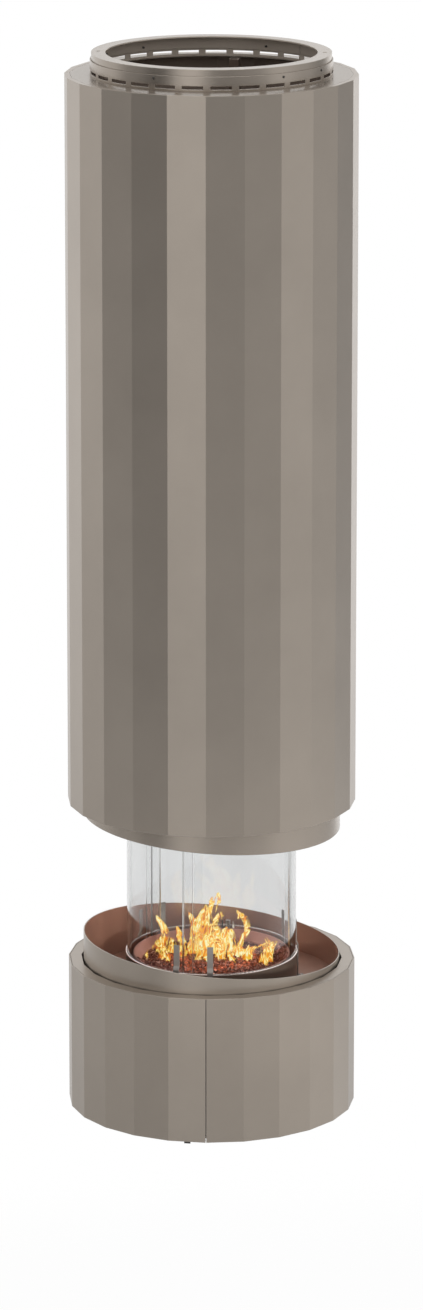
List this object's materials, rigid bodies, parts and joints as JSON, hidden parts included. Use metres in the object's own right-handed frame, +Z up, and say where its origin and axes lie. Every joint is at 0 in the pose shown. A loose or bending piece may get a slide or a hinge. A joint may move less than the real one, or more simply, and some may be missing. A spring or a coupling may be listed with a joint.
{
  "type": "hanging fireplace",
  "caption": "Ceiling-hung gas fireplace: tall faceted hood, round glass burning chamber over a copper bowl, and a faceted lower housing with hinged doors.",
  "frame": {"origin": "centre of the ceiling ring's top face, between the two ceiling bolt holes", "axes": "+Z up along the fireplace's axis; the door seam faces -Y; the ceiling bolts lie along X"},
  "size_m": [0.6, 0.613, 2.2281],
  "materials": {
    "taupe_paint": "satin taupe powder coat with a fine grain",
    "taupe_satin": "smooth satin taupe paint",
    "bronze_paint": "dark bronze heat-proof paint",
    "copper_paint": "satin copper-brown metallic paint",
    "dark_steel": "blackened steel",
    "zinc_steel": "galvanised sheet",
    "stainless": "brushed stainless steel",
    "clear_glass": "clear ceramic glass",
    "seal_rope": "glass-fibre rope seal",
    "lava_stone": "dark red lava granules",
    "brass": "turned brass",
    "copper_pipe": "copper tube",
    "ceramic": "glazed white ceramic",
    "black_plastic": "black moulded plastic",
    "red_plastic": "red dipped plastic",
    "cast_alloy": "die-cast alloy"
  },
  "bodies": {
    "frame": {"ceiling_ring": "taupe_satin", "vent_ring": "taupe_satin", "vent_ring_screws": "dark_steel", "hood_top_plate": "taupe_satin", "hood_shell_front": "taupe_paint", "hood_shell_back": "taupe_paint", "hood_joint_straps": "zinc_steel", "hood_posts": "zinc_steel", "hood_underside": "bronze_paint", "hood_skirt": "taupe_paint", "flue_exhaust_pipe": "stainless", "flue_air_pipe": "zinc_steel", "flue_spacers": "stainless", "exhaust_cone": "stainless", "air_cone": "zinc_steel", "glass_top_ring": "bronze_paint", "tie_rods": "stainless", "tie_rod_nuts": "stainless", "supply_tube": "stainless", "joint_strips": "clear_glass", "pane_gasket": "seal_rope", "pane_clips": "stainless", "clip_screws": "stainless", "burner_tray": "bronze_paint", "burner_pan": "copper_paint", "burner_ring": "stainless", "lava_grate": "dark_steel", "lava_bed": "lava_stone", "injector": "brass", "pilot_hood": "stainless", "ignition_electrode": "ceramic", "flame_sensor": "stainless", "bowl_ring": "copper_paint", "bowl_floor": "copper_paint", "base_ledge": "taupe_paint", "ledge_posts": "zinc_steel", "base_posts": "zinc_steel", "base_floor": "zinc_steel", "frame_hinges": "dark_steel", "hinge_pins": "stainless", "catch_magnets": "black_plastic", "isolating_valve": "brass", "inlet_pipe": "copper_pipe", "gas_valve": "cast_alloy", "valve_bracket": "zinc_steel", "burner_feed_pipe": "copper_pipe", "receiver_box": "black_plastic"},
    "pane_left": {"pane_left": "clear_glass"},
    "pane_right": {"pane_right": "clear_glass"},
    "pane_back": {"pane_back": "clear_glass"},
    "door_left": {"door_left": "taupe_paint", "door_left_hinges": "dark_steel", "door_pull": "dark_steel", "door_left_strikes": "zinc_steel"},
    "door_right": {"door_right": "taupe_paint", "door_right_hinges": "dark_steel", "door_right_strikes": "zinc_steel"},
    "isolating_lever": {"isolating_lever": "red_plastic"},
    "valve_knob": {"valve_knob": "black_plastic"}
  },
  "joints": [
    {"name": "pane_left_lift", "type": "slide", "parent": "frame", "child": "pane_left", "axis": [0, 0, 1], "range_m": [0, 0.028]},
    {"name": "pane_right_lift", "type": "slide", "parent": "frame", "child": "pane_right", "axis": [0, 0, 1], "range_m": [0, 0.028]},
    {"name": "pane_back_lift", "type": "slide", "parent": "frame", "child": "pane_back", "axis": [0, 0, 1], "range_m": [0, 0.028]},
    {"name": "door_left_swing", "type": "hinge", "parent": "frame", "child": "door_left", "pos_m": [0, 0.307, -2.0701], "axis": [0, 0, -1], "range_deg": [0, 75]},
    {"name": "door_right_swing", "type": "hinge", "parent": "frame", "child": "door_right", "pos_m": [0, 0.307, -2.0701], "axis": [0, 0, 1], "range_deg": [0, 75]},
    {"name": "isolating_lever_turn", "type": "hinge", "parent": "frame", "child": "isolating_lever", "pos_m": [0.16496, 0.02086, -2.0531], "axis": [0, -1, 0], "range_deg": [0, 90]},
    {"name": "valve_knob_turn", "type": "hinge", "parent": "frame", "child": "valve_knob", "pos_m": [0, -0.125, -2.0991], "axis": [0, -1, 0], "range_deg": [0, 90]}
  ]
}
